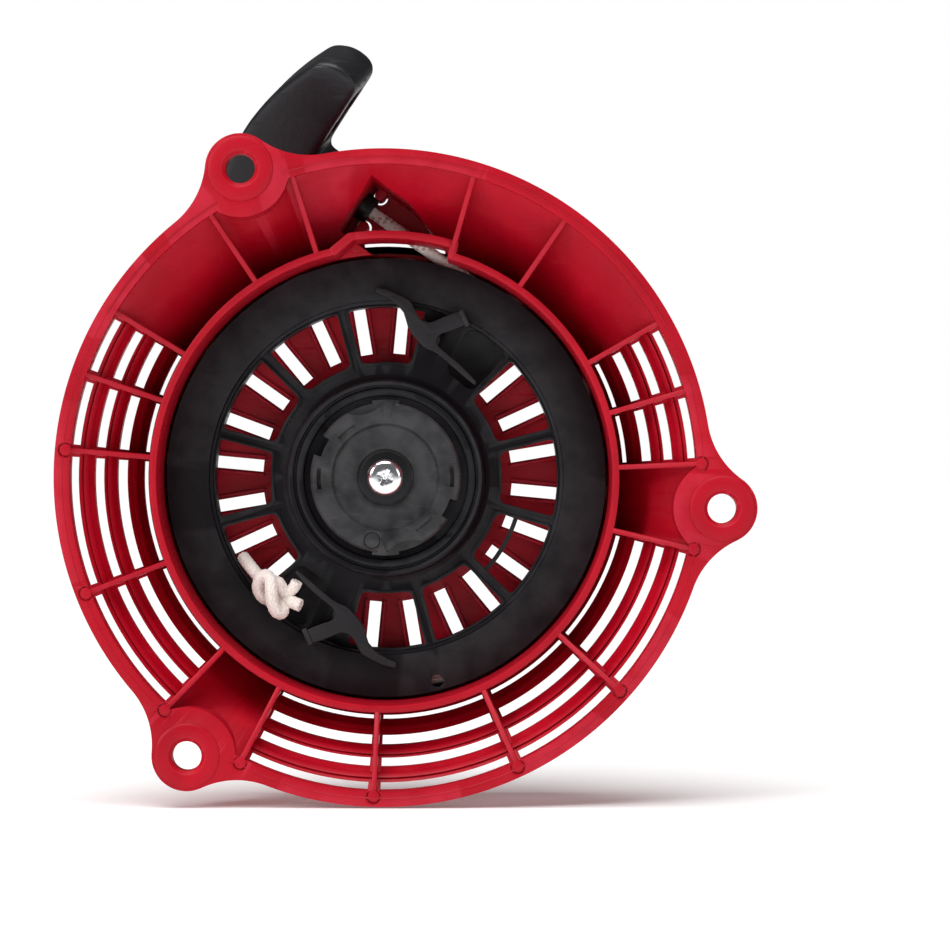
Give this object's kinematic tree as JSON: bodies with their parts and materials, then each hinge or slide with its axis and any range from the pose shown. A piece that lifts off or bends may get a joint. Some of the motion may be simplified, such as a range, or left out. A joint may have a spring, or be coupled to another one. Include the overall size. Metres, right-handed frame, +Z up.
{
  "type": "recoil starter",
  "caption": "Recoil starter for a small vertical-shaft engine: louvred moulded case with ears, rope reel, pawls, ratchet guide and a T-shaped pull grip.",
  "frame": {"origin": "where the reel's axis meets the mounting plane, the plane of the three ear faces", "axes": "+Y runs from the mounting plane into the case towards its crown, along the reel's axis; +Z is up as the part stands on its edge; +X is to the right seen from the open engine side"},
  "size_m": [0.1859, 0.065, 0.2043],
  "materials": {
    "case_red": "moulded red nylon with a soft sheen",
    "bush_black": "black moulded plastic, slightly polished by the rope",
    "reel_black": "black glass-filled nylon, satin",
    "guide_black": "black acetal, semi-gloss",
    "pawl_grey": "dark grey moulded plastic, fine grain",
    "grip_black": "black moulded plastic with a fine matt grain",
    "rope": "braided white nylon cord with brown tracer flecks",
    "spring_steel": "blued strip steel, lightly oiled",
    "dark_steel": "phosphated steel",
    "bright_steel": "zinc-plated steel, bright"
  },
  "bodies": {
    "case": {"starter_case": "case_red", "rope_bush": "bush_black", "recoil_spring": "spring_steel", "rope_span": "rope", "thrust_washer": "dark_steel", "centre_washer": "dark_steel", "centre_screw": "bright_steel"},
    "reel": {"reel": "reel_black", "rope_winding": "rope", "rope_anchor": "rope", "rope_knot": "rope", "rope_tail": "rope"},
    "guide": {"ratchet_guide": "guide_black", "friction_spring": "spring_steel"},
    "pawl_1": {"pawl_1": "pawl_grey"},
    "pawl_2": {"pawl_2": "pawl_grey"},
    "grip": {"grip_body": "grip_black", "grip_retainer": "bright_steel", "grip_knot": "rope", "rope_lead": "rope"}
  },
  "joints": [
    {"name": "reel_spin", "type": "hinge", "parent": "case", "child": "reel", "pos_m": [0, 0.036, 0], "axis": [0, -1, 0], "range_deg": [0, 930], "stiffness_Nm_per_rad": 0.012, "springref_deg": -572.96, "deforming": ["recoil_spring"]},
    {"name": "guide_turn", "type": "hinge", "parent": "reel", "child": "guide", "pos_m": [0, 0.027, 0], "axis": [0, -1, 0], "range_deg": [-30, 0]},
    {"name": "pawl_1_swing", "type": "hinge", "parent": "reel", "child": "pawl_1", "pos_m": [0.01228, 0.031, 0.0378], "axis": [0, -1, 0], "range_deg": [-20, 0]},
    {"name": "pawl_2_swing", "type": "hinge", "parent": "reel", "child": "pawl_2", "pos_m": [-0.01228, 0.031, -0.0378], "axis": [0, -1, 0], "range_deg": [-20, 0]},
    {"name": "grip_pull", "type": "slide", "parent": "case", "child": "grip", "axis": [-0.8211, 0, 0.5707], "range_m": [0, 0.85], "deforming": ["rope_lead"]}
  ],
  "couplings": [
    {"joint": "grip_pull", "follows": "reel_spin", "m_per_rad": 0.052},
    {"joint": "pawl_1_swing", "follows": "guide_turn", "ratio": 0.66},
    {"joint": "pawl_2_swing", "follows": "guide_turn", "ratio": 0.66}
  ]
}
